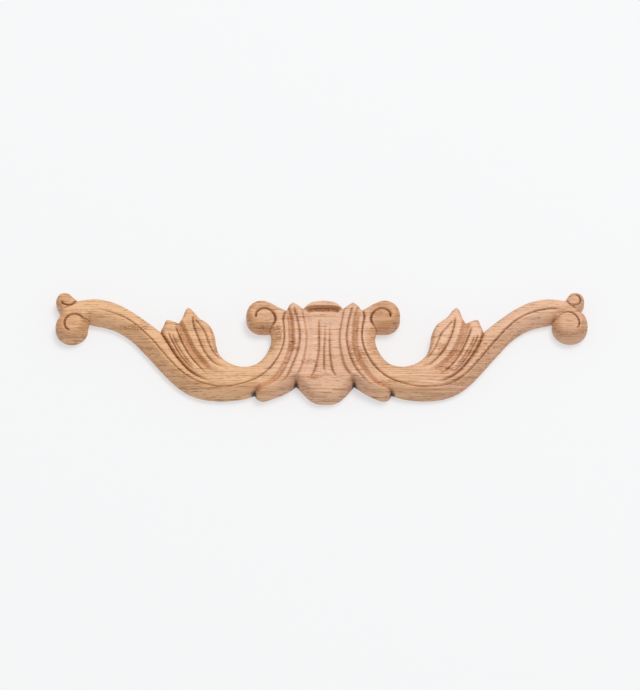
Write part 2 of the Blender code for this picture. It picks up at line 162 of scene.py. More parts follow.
# The same for one half only, because both were cut by hand
CARVED_LEFT = {
    "rim": (RIM + [(29.8, 22), LEFT_STRAP_NOTCH], 1.2, 0.8, 2.4, 3.0, 40, 4),
    "end_spiral": ([ARM_CORNER, (178.1, 21.9), (182.1, 24.3), (187.1, 24.6), (190.9, 21.6), (192.4, 17.4),
                    (191.4, 13.2), (188.4, 10.9)], 1.8, 0.8, 2.4, 1.4, 0, 1),
    "curl_root": ([CURL_CORNER, (186, 34.2), (190, 31.6), (193.4, 30.6), LEFT_END[2]],
                  0.8, 1.2, 1.8, 2.2, 0, 0),
    "curl_smile": ([(195.4, 37), (193.8, 34.4), (190.3, 33), (186.6, 34.2), CURL_CORNER],
                   1.6, 1.0, 2.0, 1.2, 1, 0),
}
CARVED_RIGHT = {
    "rim": (RIM + [(30.8, 23.5), RIGHT_STRAP_NOTCH], 1.4, 0.8, 2.4, 3.0, 7, 4),
    "end_spiral": ([ARM_CORNER, (176.6, 23), (180.4, 25.6), (184.4, 26.6), (188.2, 25.6), (191.7, 21.6),
                    (193, 17.4), (192.4, 14), (190.6, 12.6)], 1.4, 0.8, 2.4, 1.4, 0, 1.5),
    "volute_recess": ([(173.6, 20.4), (176.4, 23.6), (180.4, 26.4), (184.6, 27.4)], 0, 1.9, 3.6, 1.4, 0, 6),
    "curl_root": ([CURL_CORNER, (185.5, 34.6), (188.6, 31.8), (191.6, 30.2), RIGHT_END[2]],
                  1.0, 1.2, 2.0, 2.4, 0, 0),
    "curl_spiral": ([(189.6, 42.2), (192.8, 41), (194.3, 38), (193.8, 35.2), (191.6, 33.4), (188.6, 32.9),
                     (186.2, 33.8)], 1.8, 1.0, 1.4, 1.6, 3, 3),
}
# On the panel, where x runs from the left to the right of the middle
CARVED_MIDDLE = {
    "left_flute": ([(-3.3, 22.6), (-3.3, -5.5), (-5.3, -17.1), (-7.2, -23), (-11.2, -28.6)],
                   0.75, 1.0, 2.4, 1.7, 10, 3),
    "middle_flute": ([(1.1, 23), (1.1, 4), (0.6, -4), (0.6, -23)], 0.8, 0.7, 1.7, 1.7, 34, 3),
    "right_flute": ([(4.7, 22.6), (4.7, 0), (5.2, -9), (6.0, -17.1), (6.9, -22.8), (9.4, -27.6)],
                    0.8, 1.0, 1.7, 2.4, 34, 3),
    "lip_check": ([(4.2, 30.6), (4.1, 27.6)], 2.0, 0, 0.1, 0.1, 0.6, 0.6),
}
# Where the lip and the bulb step up from the panel
LIP_EDGE = [(0, 31.0), (7, 30.8), (11, 29.7), (14.2, 27.8), (17, 25.2)]
BULB_EDGE = [(0, -29.8), (8, -29.4), (14.6, -27.4), (20, -24.6)]
ARMS = (84.0, 150.0)      # from where to where the two halves' lines weren't cut quite alike
HAND_SHIFT = (0.9, -0.7)  # by which the right half's lines there lie outwards, and the left half's inwards
ARMS_END_SLOPE = 10.0     # over which that shift comes and goes

# Stations of the uncut body: x, y, crown height, width of the rounding at the edge, edge height, and
# how much lower than the crown a band between a ridge and the edge is pared
STATIONS = [
    (0, -34, 16.0, 5, 5, 5.6), (13, -32, 15.2, 5, 5, 5), (0, -16, 13.4, 5, 7, 0), (0, 18, 13.2, 5, 8, 0),
    (0, 34, 13.6, 6, 8, 0), (12, 32, 13.2, 5.5, 8, 0), (20, 26, 15.0, 4, 9, 0), (21, 4, 15.6, 4, 9, 0),
    (27, -18, 15.4, 5, 7, 0), (40, -35, 14.4, 6.5, 5.5, 2), (34, 4, 15.2, 6, 6.5, 7),
    (34, 22, 15.6, 4.5, 8, 5), (46, 26, 17.0, 5.5, 9, 0), (46, -24, 15.4, 7, 6.5, 2),
    (60, -28, 15.2, 7, 5.5, 2.5), (78, -37, 14.6, 7, 5.5, 5), (76, -22, 15.6, 6, 6, 0.5),
    (88, 0, 15.6, 3.5, 7, 3.0), (98, 10, 15.2, 3.5, 8, 1.5), (100, 27, 12.4, 3.5, 8, 0),
    (113, 16, 11.8, 3, 8, 0), (106, -4, 14.0, 4, 8, 0), (104, -29, 14.8, 6.5, 5.5, 7),
    (118, -10, 14.4, 6.5, 5.5, 7.5), (134, 9, 14.0, 6.5, 5.5, 7), (150, 26, 13.8, 6.5, 5.5, 3.5),
    (166, 31, 13.8, 6.5, 6, 2), (180, 31, 14.4, 6.5, 6.5, 1), (186.4, 18.6, 16.4, 8, 5.5, 0),
    (191.6, 38.6, 13.4, 4.5, 7, 0),
]
STATION_REACH = 9.0      # how far a station's heights carry
STATION_LEAST = 1e-9     # what a station counts at least, so that far places have heights too


def smooth_run(points, step):
    """Points about step apart on a centripetal Catmull-Rom curve through the given points."""
    p = np.array(points, float)
    p = np.vstack([2 * p[0] - p[1], p, 2 * p[-1] - p[-2]])
    knots = np.concatenate([[0.0], np.cumsum(np.linalg.norm(np.diff(p, axis=0), axis=1) ** 0.5)])
    run = []
    for i in range(1, len(p) - 2):
        t0, t1, t2, t3 = knots[i - 1:i + 3]
        count = max(1, round(np.linalg.norm(p[i + 1] - p[i]) / step))
        for k in range(count):
            t = t1 + (t2 - t1) * k / count
            a1 = ((t1 - t) * p[i - 1] + (t - t0) * p[i]) / (t1 - t0)
            a2 = ((t2 - t) * p[i] + (t - t1) * p[i + 1]) / (t2 - t1)
            a3 = ((t3 - t) * p[i + 1] + (t - t2) * p[i + 2]) / (t3 - t2)
            b1 = ((t2 - t) * a1 + (t - t0) * a2) / (t2 - t0)
            b2 = ((t3 - t) * a2 + (t - t1) * a3) / (t3 - t1)
            run.append(((t2 - t) * b1 + (t - t1) * b2) / (t2 - t1))
    run.append(p[-2])
    return np.array(run)


def half_outline(side):
    """The outline of one half, drawn on the right, as one row of points."""
    runs = [smooth_run(run, OUTLINE_STEP) for run in RUNS[side]]
    return np.vstack([run[:-1] for run in runs] + [runs[-1][-1:]])


def whole_outline():
    """The closed outline before the middle is shifted."""
    return np.vstack([half_outline(1), (half_outline(-1)[1:-1] * (-1, 1))[::-1]])


def nearest_on(line, points):
    """Distance to a polyline, the side of it (left is positive), the length along it and its place."""
    a, b = line[:-1], line[1:]
    span = b - a
    length = np.linalg.norm(span, axis=1)
    before = np.concatenate([[0.0], np.cumsum(length)[:-1]])
    best = np.full(len(points), np.inf)
    side = np.ones(len(points))
    along = np.zeros(len(points))
    place = points.copy()
    for k in range(len(a)):
        rel = points - a[k]
        t = np.clip(rel @ span[k] / length[k] ** 2, 0, 1)
        away = rel - t[:, None] * span[k]
        d = np.hypot(away[:, 0], away[:, 1])
        closer = d < best
        best[closer] = d[closer]
        cross = span[k, 0] * rel[closer, 1] - span[k, 1] * rel[closer, 0]
        side[closer] = np.where(cross >= 0, 1.0, -1.0)
        along[closer] = before[k] + t[closer] * length[k]
        place[closer] = points[closer] - away[closer]
    return best, side, along, length.sum(), place


def ease(t):
    """Smooth step from 0 to 1."""
    t = np.clip(t, 0, 1)
    return t * t * (3 - 2 * t)


def near(line, reach, points):
    """Which points lie in the line's box, widened by reach."""
    low, high = line.min(axis=0) - reach, line.max(axis=0) + reach
    return np.all((points > low) & (points < high), axis=1)


def sharp_width(depth):
    """Half the width of a V tool's cut of this depth."""
    return TOOL_EDGE + TOOL_SPREAD * depth


def carve_line(line, sharp, broad, left, right, fade_in, fade_out, points):
    """A carved line at each point: a V in the middle of slopes that ease out.

    Gives its whole depth, the share of the V tool's stroke and the depth of the broad slopes.
    """
    line = smooth_run(line, LINE_STEP)
    cut = np.zeros((3, len(points)))
    close = near(line, max(left, right, sharp_width(sharp)), points)
    distance, side, along, total, _ = nearest_on(line, points[close])
    share = np.clip(distance / np.where(side > 0, left, right), 0, 1)
    slopes = (1 - share) ** SHARP_POWER if sharp > SHARP_DEPTH else (1 - share ** 2) ** SOFT_POWER
    stroke = np.clip(1 - distance / sharp_width(sharp), 0, 1)
    fade = np.ones(len(distance))
    if fade_in:
        fade *= ease(FADE_LEAST + (1 - FADE_LEAST) * along / fade_in)
    if fade_out:
        fade *= ease(FADE_LEAST + (1 - FADE_LEAST) * (total - along) / fade_out)
    cut[:, close] = fade * np.array([broad * slopes + sharp * stroke,
                                     min(1, sharp / FULL_STROKE_DEPTH) * stroke, broad * slopes])
    return cut


def centre_offset(x, y):
    """How far the ornament's middle, and the bulb still more, was drawn to the right."""
    fade = (OFFSET_GONE_BY - np.abs(x)) / (OFFSET_GONE_BY - OFFSET_FULL_WITHIN)
    low = ease((BULB_OFFSET_FROM - y) / (BULB_OFFSET_FROM - BULB_OFFSET_TO))
    near_middle = ease((BULB_OFFSET_GONE_BY - np.abs(x)) / (BULB_OFFSET_GONE_BY - BULB_OFFSET_FULL_WITHIN))
    return CENTRE_OFFSET * np.clip(fade, 0, 1) + BULB_OFFSET * low * near_middle


def depth_inside(places):
    """Distance to the outline, but smooth along the middle of an arm, where two edges are as near.

    Each bit of the outline counts by the inverse fifth power of its distance. Along a straight edge
    at distance d that sums to 4 / (3 d^4), which gives the distance back.
    """
    outline = whole_outline()
    length = np.linalg.norm(np.diff(outline, axis=0, append=outline[:1]), axis=1)
    total = np.zeros(len(places))
    for (x, y), piece in zip(outline, length):
        square = (places[:, 0] - x) ** 2 + (places[:, 1] - y) ** 2 + TINY
        total += piece / (square * square * np.sqrt(square))
    smooth = (3 / 4 * total) ** (-1 / 4)
    exact = np.empty(len(places))
    for side in (1, -1):
        here = places[:, 0] * side >= 0
        exact[here] = nearest_on(half_outline(side), places[here] * (side, 1))[0]
    trust = ease(exact / (2 * OUTLINE_STEP) - 1)
    return exact + trust * (smooth - exact)


def by_hand(line, side):
    """A carved line as it was really cut on one half: on the arms it strays, but for its corners."""
    points = np.array(line, float)
    share = ease((points[:, 0] - ARMS[0]) / ARMS_END_SLOPE)
    share *= ease((ARMS[1] - points[:, 0]) / ARMS_END_SLOPE)
    share[[point in (LEAF_CROTCH, LEAF_VALLEY) for point in line]] = 0
    return points + side * share[:, None] * HAND_SHIFT


def all_cuts():
    """Every carved line: its side, 0 for one drawn across the middle, its points and its sizes."""
    cuts = []
    for side, own in ((1, CARVED_RIGHT), (-1, CARVED_LEFT)):
        for line, *sizes in list(CARVED.values()) + list(own.values()):
            cuts.append((side, by_hand(line, side), sizes))
    for line, *sizes in CARVED_MIDDLE.values():
        cuts.append((0, np.array(line, float), sizes))
    return cuts


def left_of(line, points):
    """Distance to a line as it is drawn, positive on its left and negative on its right."""
    distance, side, *_ = nearest_on(smooth_run(line, LINE_STEP), points)
    return distance * side


def body_sizes(half):
    """The uncut body's crown height, rounding, edge height and paring, blended from the stations."""
    weights = np.zeros(len(half))
    sums = np.zeros((len(half), 4))
    for x, y, *sizes in STATIONS:
        away = (half[:, 0] - x) ** 2 + (half[:, 1] - y) ** 2
        weight = np.exp(-away / (2 * STATION_REACH ** 2)) + STATION_LEAST
        weights += weight
        sums += weight[:, None] * sizes
    return (sums / weights[:, None]).T


def raised_shares(half):
    """How far each place is on the strap, on the lip and on the bulb, from 0 to 1."""
    x, y = half.T
    on_strap = ease(left_of(CARVED["panel_edge"][0], half) / PAD_SLOPE)
    on_strap *= ease(-left_of(CARVED["strap_hollow"][0], half) / PAD_SLOPE) * (x < FOOT_NOTCH[0])
    on_lip = ease(left_of(LIP_EDGE, half) / LIP_SLOPE) * (y > LIP_ABOVE)
    on_lip *= ease((LIP_NOTCH[0] - x) / LIP_END_SLOPE)
    on_bulb = ease(-left_of(BULB_EDGE, half) / BULB_SLOPE) * (y < -LIP_ABOVE)
    on_bulb *= ease((BULB_NOTCH[0] - x) / LIP_END_SLOPE)
    return on_strap, on_lip, on_bulb


def uncarved_face(half, depth):
    """The body before its lines are cut: its height, how far its edge is rounded down and its edge height."""
    crown, rounding, edge, pared = body_sizes(half)
    on_strap, on_lip, on_bulb = raised_shares(half)
    rim = left_of(RIM, half)
    ridge = np.abs([rim, left_of(CARVED["leaf_flank"][0], half), left_of(BULB_EDGE, half)]).min(axis=0)
    upper = (rim < 0) * ease((half[:, 0] - STEM_REACH) / STEM_REACH)
    ridge *= 1 + upper * (UPPER_SHARE - 1)
    pared = pared * (1 - on_strap) * ridge / (ridge + depth + TINY)
    crown = crown + STRAP_RISE * on_strap + LIP_RISE * on_lip + BULB_RISE * on_bulb - pared
    outward = 1 - np.clip(depth / rounding, 0, 1)
    rounded = np.maximum(crown - edge, 0) * (1 - (1 - outward ** EDGE_POWERS[0]) ** EDGE_POWERS[1])
    return crown, rounded, edge


def carved_face(places):
    """The carved face over the places, which are measured from the ornament's middle.

    Gives its height over the back, the share of a V tool's stroke and the depth of the hollows.
    """
    half = np.column_stack([np.abs(places[:, 0]), places[:, 1]])
    crown, rounded, edge = uncarved_face(half, depth_inside(places))
    cuts = rounded ** BLEND_POWER
    stroke = np.zeros(len(half))
    hollows = np.zeros(len(half))
    for side, line, sizes in all_cuts():
        here = places[:, 0] * side >= 0
        depth, sharp, broad = carve_line(line, *sizes, places[here] * (side or 1, 1))
        cuts[here] += depth ** BLEND_POWER
        stroke[here] = np.maximum(stroke[here], sharp)
        hollows[here] += broad
    height = crown - cuts ** (1 / BLEND_POWER)
    return np.maximum(height, np.minimum(edge, LOWEST_FACE)), stroke, hollows


def inside(outline, points):
    """Which points lie inside the closed outline."""
    x, y = points[:, 0], points[:, 1]
    result = np.zeros(len(points), bool)
    for (x0, y0), (x1, y1) in zip(outline, np.roll(outline, -1, axis=0)):
        crosses = (y0 > y) != (y1 > y)
        at = x0 + (y - y0) * (x1 - x0) / (y1 - y0 if y1 != y0 else 1.0)
        result ^= crosses & (x < at)
    return result


# The fine piece
CELL = 0.45                      # side of one square of the sheet that is carved
SHEET_HEIGHT = 9.0               # where the sheet lies before it is carved
WALL_HEIGHTS = (1.6, 0.8, 0.0)   # rows of points down the sawn side wall
BOSS_SLOPE = 3.5                 # width of the edge of a boss, where its colour changes
SNAP = 0.46                      # share of a cell within which points settle on a sharp line
BOSS_MARGIN = 1.0                # how far the colour of a boss goes past its outline
SMOOTH_BELOW = 38                # degrees between two faces, up to which they are shaded as one


def deselect_all():
    """Leaves nothing selected, so that the next operator works on its own object."""
    bpy.ops.object.select_all(action="DESELECT")


def read_points(mesh):
    """The mesh's points in metres, one to a row."""
    points = np.empty(len(mesh.vertices) * 3)
    mesh.vertices.foreach_get("co", points)
    return points.reshape(-1, 3)


def write_points(mesh, points):
    """Moves the mesh's points to these places."""
    mesh.vertices.foreach_set("co", points.ravel())
    mesh.update()


def full_outline():
    """The closed outline of the whole ornament, with its middle shifted."""
    whole = whole_outline()
    whole[:, 0] += centre_offset(whole[:, 0], whole[:, 1])
    return whole


def corners():
    """Every sharp corner of the outline, on both halves."""
    places = []
    for side, runs in RUNS.items():
        for run in runs[:-1]:
            x, y = run[-1]
            places.append((side * x + float(centre_offset(x, y)), y))
    return places


def flat_sheet(outline):
    """A fine sheet that covers the outline."""
    low, high = outline.min(axis=0) - CELL, outline.max(axis=0) + CELL
    across, up = np.ceil((high - low) / CELL).astype(int)
    deselect_all()
    middle = (low + high) / 2 * MM
    bpy.ops.mesh.primitive_grid_add(x_subdivisions=int(across), y_subdivisions=int(up), size=1,
                                    location=(middle[0], middle[1], SHEET_HEIGHT * MM))
    sheet = bpy.context.object
    sheet.name = sheet.data.name = "carved_applique"
    bpy.ops.transform.resize(value=(across * CELL * MM, up * CELL * MM, 1))
    bpy.ops.object.transform_apply(location=True, rotation=False, scale=True)
    return sheet


def cut_out(mesh, outline):
    """Deletes the squares outside the outline, and leaves the points of the new rim selected."""
    centres = np.empty(len(mesh.polygons) * 3)
    mesh.polygons.foreach_get("center", centres)
    waste = ~inside(outline, centres.reshape(-1, 3)[:, :2] / MM)
    bpy.ops.object.mode_set(mode="EDIT")
    bpy.ops.mesh.select_mode(type="FACE")
    bpy.ops.mesh.select_all(action="DESELECT")
    bpy.ops.object.mode_set(mode="OBJECT")
    mesh.polygons.foreach_set("select", waste)
    bpy.ops.object.mode_set(mode="EDIT")
    bpy.ops.mesh.delete(type="FACE")
    bpy.ops.mesh.select_mode(type="VERT")
    bpy.ops.mesh.select_all(action="SELECT")
    bpy.ops.mesh.region_to_loop()
    bpy.ops.object.mode_set(mode="OBJECT")


def fit_to_lines(mesh, outline):
    """Moves the rim on to the outline and its corners, and other points on to the sharp lines near them."""
    rim = np.empty(len(mesh.vertices), bool)
    mesh.vertices.foreach_get("select", rim)
    points = read_points(mesh)
    loop = np.vstack([outline, outline[:1]])
    *_, place = nearest_on(loop, points[rim, :2] / MM)
    points[rim, :2] = place * MM
    rim_index = np.flatnonzero(rim)
    for corner in corners():
        closest = rim_index[np.argmin(np.hypot(*(points[rim_index, :2] / MM - corner).T))]
        points[closest, :2] = np.array(corner) * MM
    points[~rim, :2] = settled(points[~rim, :2] / MM) * MM
    write_points(mesh, points)


def sawn_blank():
    """A board sawn to the outline: a fine sheet, cut out, with its side wall and its back."""
    outline = full_outline()
    blank = flat_sheet(outline)
    cut_out(blank.data, outline)
    fit_to_lines(blank.data, outline)
    bpy.ops.object.mode_set(mode="EDIT")
    bpy.ops.mesh.select_mode(type="EDGE")
    for above, below in zip((SHEET_HEIGHT,) + WALL_HEIGHTS, WALL_HEIGHTS):
        bpy.ops.mesh.extrude_edges_move(TRANSFORM_OT_translate={"value": (0, 0, (below - above) * MM)})
    bpy.ops.mesh.edge_face_add()
    bpy.ops.mesh.select_all(action="SELECT")
    bpy.ops.mesh.normals_make_consistent(inside=False)
    bpy.ops.object.mode_set(mode="OBJECT")
    return blank


def settled(points):
    """Moves the points nearest to a sharp line on to it, so that its bottom is crisp."""
    points = points.copy()
    for side, line, sizes in all_cuts():
        if sizes[0] < SHARP_DEPTH:
            continue
        line = smooth_run(line, LINE_STEP) * (side or 1, 1)
        line[:, 0] += centre_offset(line[:, 0], line[:, 1])
        close = np.flatnonzero(near(line, CELL, points))
        distance, _, along, total, place = nearest_on(line, points[close])
        touched = (distance < SNAP * CELL) & (along > 0) & (along < total)
        points[close[touched]] = place[touched]
    return points


def mark(mesh, name, where, values):
    """Keeps a value at each point of the carved face, for the oak's colour and the shade painted into it
    there.
    """
    whole = np.zeros(len(where))
    whole[where] = values
    mesh.attributes.new(name, "FLOAT", "POINT").data.foreach_set("value", whole)


def boss_share(places):
    """1 on the round bosses, where the cut runs across the grain, easing to 0 at their edges."""
    share = np.zeros(len(places))
    for side, (volute, curl, *_) in ((1, RIGHT_END), (-1, LEFT_END)):
        for (x, y), radius in (volute, curl, CENTRE_SCROLL):
            away = np.hypot(places[:, 0] * side - x, places[:, 1] - y)
            share = np.maximum(share, ease((radius + BOSS_MARGIN - away) / BOSS_SLOPE))
    return share


def carve(blank):
    """Cuts the relief into the sheet, whose points still lie at the sheet's height."""
    mesh = blank.data
    points = read_points(mesh)
    face = points[:, 2] > (WALL_HEIGHTS[0] + SHEET_HEIGHT) / 2 * MM
    places = points[face, :2] / MM
    places[:, 0] -= centre_offset(places[:, 0], places[:, 1])
    height, stroke, hollows = carved_face(places)
    points[face, 2] = height * MM
    write_points(mesh, points)
    mark(mesh, "stroke", face, stroke)
    mark(mesh, "hollow", face, hollows)
    mark(mesh, "boss", face, boss_share(places))
    deselect_all()
    blank.select_set(True)
    bpy.context.view_layer.objects.active = blank
    bpy.ops.object.shade_smooth_by_angle(angle=math.radians(SMOOTH_BELOW))


class Wire:
    """One socket of a material's nodes. Arithmetic on it adds Math nodes."""

    def __init__(self, tree, socket):
        self.tree = tree
        self.socket = socket

    def make(self, kind, settings, sockets, output=0):
        """Adds a node of any kind: its settings first, then the values or wires of its sockets."""
        node = self.tree.nodes.new(kind)
        for name, value in settings.items():
            setattr(node, name, value)
        for name, value in sockets.items():
            if isinstance(value, Wire):
                self.tree.links.new(value.socket, node.inputs[name])
            else:
                node.inputs[name].default_value = value
        return Wire(self.tree, node.outputs[output])

    def maths(self, operation, *values):
        return self.make("ShaderNodeMath", {"operation": operation}, dict(enumerate(values)))

    def __add__(self, other):
        return self.maths("ADD", self, other)

    def __sub__(self, other):
        return self.maths("SUBTRACT", self, other)

    def __mul__(self, other):
        return self.maths("MULTIPLY", self, other)

    def __truediv__(self, other):
        return self.maths("DIVIDE", self, other)

    def __radd__(self, other):
        return self.maths("ADD", other, self)

    def __rsub__(self, other):
        return self.maths("SUBTRACT", other, self)

    def __rmul__(self, other):
        return self.maths("MULTIPLY", other, self)

    def size(self):
        """The value without its sign."""
        return self.maths("ABSOLUTE", self)

    def fraction(self):
        """What the value has over a whole number."""
        return self.maths("FRACT", self)

    def larger(self, other):
        """The larger of this value and another one."""
        return self.maths("MAXIMUM", self, other)

    def between(self, low, high):
        """0 below low, 1 above high and a smooth step from one to the other."""
        return self.make("ShaderNodeMapRange", {"interpolation_type": "SMOOTHSTEP"},
                         {"Value": self, "From Min": low, "From Max": high})

    def around(self, middle, full, gone):
        """1 as far as full from the middle, and easing to 0 as far as gone."""
        return 1 - (self - middle).size().between(full, gone)

    def parts(self):
        """The three parts of a vector."""
        split = self.make("ShaderNodeSeparateXYZ", {}, {0: self}).socket.node
        return [Wire(self.tree, socket) for socket in split.outputs]

    def stretched(self, cell):
        """The place in space measured in cells, whose three sides are in millimetres."""
        x, y, z = cell
        return self.make("ShaderNodeVectorMath", {"operation": "MULTIPLY"},
                         {0: self, 1: (1 / (x * MM), 1 / (y * MM), 1 / (z * MM))})

    def noise(self, cell, detail=1, roughness=0.5):
        """A smooth random value from about 0.3 to 0.7, with finer detail in steps."""
        return self.make("ShaderNodeTexNoise", {},
                         {"Vector": self.stretched(cell), "Scale": 1.0, "Detail": detail,
                          "Roughness": roughness})

    def pores(self, cell):
        """Distance to the nearest of the pores, which stand at random one to a cell."""
        return self.make("ShaderNodeTexVoronoi", {}, {"Vector": self.stretched(cell), "Scale": 1.0,
                                                      "Randomness": 1.0})

    def towards(self, colour, share):
        """This colour mixed with another one by a share that may vary."""
        return self.make("ShaderNodeMix", {"data_type": "RGBA"}, {0: share, 6: self, 7: colour}, 2)


def largest(wires):
    """The largest of several values."""
    result, *rest = wires
    for wire in rest:
        result = result.larger(wire)
    return result


# Oak, in linear colour
HONEY = (0.76, 0.445, 0.236, 1)
ROSE = (0.745, 0.452, 0.310, 1)
TAN = (0.52, 0.268, 0.124, 1)
RUST = (0.46, 0.19, 0.075, 1)
PORE = (0.20, 0.088, 0.042, 1)
CUT_SHADE = (0.15, 0.052, 0.022, 1)      # painted shade at the bottom of a V tool's stroke and of the deepest hollows, with the darker crushed grain of the cut
NOTCH_SHADE_AND_DUST = (0.028, 0.011, 0.007, 1)    # painted shade, with some dust, at the bottom of a notch in the side wall

# Growth rings and patterns, in millimetres. A cell is one step of a pattern, along the length, up the face
# and out of it. A level is the same all along a leaning ring: y and LEAN times z.
RING = 2.1                         # width of a growth ring
LEAN = 0.51                        # how far the rings lean over for each step up
RING_WANDER = 9.0                  # how far the rings wander across the grain
WANDER_CELL = (90, 11, 90)
EARLY_COMES, EARLY_GOES = (0.0, 0.10), (0.14, 0.40)   # where early wood lies, in shares of a ring
EARLY_CELL = (22, 3, 40)           # it shows in some lengths of a ring more than in others
EARLY_LEAST = 0.25
FIBRE_CELL = (30, 0.95, 24)
BAND_CELL = (80, 3.0, 40)
CLOUD_CELL = (60, 16, 16)
CRUMB_CELL = (2.1, 1.5, 1.5)       # two fine patterns of torn wood
GRIT_CELL = (2.8, 1.3, 1.4)
PATCH_CELL = (24, 9, 9)            # where they gather
UNEVEN_CELL = (5, 5, 5)            # how the painted shade in a stroke comes and goes
BEAD_CELL = (9, 1.7, 9)            # how the grain breaks it into beads
PORE_CLUSTER_CELL = (40, 6, 6)
SLOPE_CLUSTER_CELL = (26, 7, 20)   # where pores crowd on the slopes
# Pores of three sizes: cell, inner and outer edge of the pore as shares of a cell, how dark it is where
# pores crowd, and how dark it is anywhere
PORE_SIZES = [((7, 0.75, 12), 0.12, 0.34, 1.15, 0.0), ((17, 1.4, 20), 0.08, 0.27, 1.25, 0.0),
              ((30, 2.6, 30), 0.05, 0.17, 0.0, 0.85)]
# Which values of a noise are spread out to 0 to 1: the narrower, the harder the edges of what it draws
SPARSE, HARD, CRISP, FIRM, SOFT = (0.42, 0.62), (0.38, 0.62), (0.34, 0.66), (0.36, 0.64), (0.30, 0.70)

# From where to where a value comes to count in full: how far the face looks up, how far it looks along
# the length, the depth of the hollows and the share of a tool's stroke
FLAT, NOT_A_WALL, END_GRAIN = (0.72, 0.99), (0.2, 0.7), (0.3, 0.8)
SHALLOW, DEEP, STROKE = (0.3, 3.0), (2.6, 5.5), (0.2, 1.0)

# Regions: from which x or y to which each comes to count in full, or for a width, to fade
PANEL_MIDDLE, BULB_MIDDLE, ROSY_MIDDLE = 1.0, 2.5, 3.0
BESIDE_FLUTES, PANEL_WIDTH, ABOVE_BULB = (4, 8), (9, 30), (-31, -27)   # the panel's wood is the calmest
RIGHT_ARM = (110, 150)
LIP_MIDDLE, LIP_WIDTH, LIP_FLOOR, LIP_EDGE_Y = 1.3, (11, 14), (26.2, 27.6), (30.2, 31.2)
BULB_WIDTH, BULB_TOP = (18, 26), (-37, -28)
LOW_RIGHT_X, LOW_RIGHT_Y = (45, 70), (-30, -18)
RIGHT_LEAF_X, RIGHT_LEAF_Y = (75, 90), (-24, -14)
RIGHT_HOLLOWS = (50, 70)
RIGHT_SCROLL_FROM, RIGHT_SCROLL_TO = (20, 50), (60, 90)
ROSY_WIDTH, ROSY_RIGHT = (16, 60), (40, 100)

# Where the gouge tore the grain: x, level, half the length, half the height, and how badly
TORN = [(-9, -7.4, 7, 2.4, 0.75), (-32, 17, 3.4, 8, 1.1), (-21, 4.6, 4.6, 5.4, 1.4),
        (-46.8, -30, 3, 3.4, 0.9), (-5, -21, 6, 1.9, 0.9), (-42, 19.6, 7.5, 4, 0.6),
        (89.6, 3.4, 4.2, 4.4, 1.3), (119, 3.4, 8, 7, 0.8), (107, 0.0, 15, 2.3, 1.3),
        (-84.4, 10.6, 2.0, 3.8, 0.9), (-80, 1, 2.6, 5, 0.7), (-106, 11, 4, 5, 1.0),
        (22.5, 2, 3.8, 6.4, 1.1), (30, -3, 3.2, 6.4, 1.1), (46, -26, 4, 2.5, 0.8),
        (-140, 20.5, 12, 2.6, 1.0), (92, -14, 8, 3.4, 0.7), (-22.6, 34, 5, 3.4, 0.6)]
TORN_EDGE = (0.3, 1.2)             # square of the distance from the middle, in halves of the size
# Short checks along the grain: x, level, half the length, and how dark
CHECKS = [(95, 1.3, 6, 0.5), (84.8, -2.1, 5, 0.5), (96, 14.3, 8, 0.35), (13, -31.4, 6, 0.55),
          (4, -33.8, 4, 0.55), (17, -37.2, 5, 0.6), (-6, -27.6, 7, 0.4), (6, -41, 7, 0.35),
          (-2, -37.4, 6, 0.45), (-84, -30.5, 12, 0.3), (-4, -30.2, 9, 0.35), (-42, 24, 8, 0.35)]
CHECK_WANDER = 1.6
CHECK_WIDTH = (0.2, 0.7)
CHECK_TAPER = 0.7                  # share of the half length from where a check fades
# The glue joint across the board
JOINT_Y, JOINT_WIDTH, JOINT_FROM, JOINT_TO, JOINT_SHARE = -15.6, (0.15, 0.6), (-40, -34), (4, 10), 0.3
# Shade and dust in the notches of the side wall
NOTCHES = (BULB_NOTCH, FOOT_NOTCH)
NOTCH_REACH = (1.0, 12.0)          # square of the distance from the notch
NOTCH_TOP = (4.0, 10.0)            # height over the back
NOTCH_SHARE = 0.92


def torn_patch(x, level, middle_x, middle_level, half_x, half_level, share):
    """How badly the grain is torn at one of the torn places: an ellipse with a soft edge."""
    aside = (x - middle_x) / half_x
    above = (level - middle_level) / half_level
    return (1 - (aside * aside + above * above).between(*TORN_EDGE)) * share


def check_line(x, level, wander, middle_x, middle_level, half_x, share):
    line = (level + (wander - 0.5) * CHECK_WANDER).around(middle_level, *CHECK_WIDTH)
    return line * x.around(middle_x, half_x * CHECK_TAPER, half_x) * share


def notch_shade_and_dust(x, y, side, notch):
    """Painted shade, with some dust: 1 at a notch on one side of the middle, easing to 0 around it."""
    notch_x, notch_y = notch
    aside = x - (side * notch_x + float(centre_offset(notch_x, notch_y)))
    above = y - notch_y
    return 1 - (aside * aside + above * above).between(*NOTCH_REACH)


def calm_panel(x, y):
    """1 beside the flutes, where the wood is the calmest, and 0 away from the panel."""
    beside = (x - PANEL_MIDDLE).size().between(*BESIDE_FLUTES)
    return beside * x.around(PANEL_MIDDLE, *PANEL_WIDTH) * y.between(*ABOVE_BULB)


def early_wood(lean, level, wander):
    """1 in the early wood of each growth ring. The rings lean in the board and wander along it."""
    phase = ((level + (wander - 0.5) * RING_WANDER) / RING).fraction()
    early = phase.between(*EARLY_COMES) * (1 - phase.between(*EARLY_GOES))
    return early * (EARLY_LEAST + lean.noise(EARLY_CELL).between(*HARD))


def pore_streaks(lean, crowd):
    """Pores are thin tubes along the grain: streaks on a face, dots where the cut crosses them."""
    return largest([(1 - lean.pores(cell).between(inner, outer)) * (crowd * crowded + anywhere)
                    for cell, inner, outer, crowded, anywhere in PORE_SIZES])


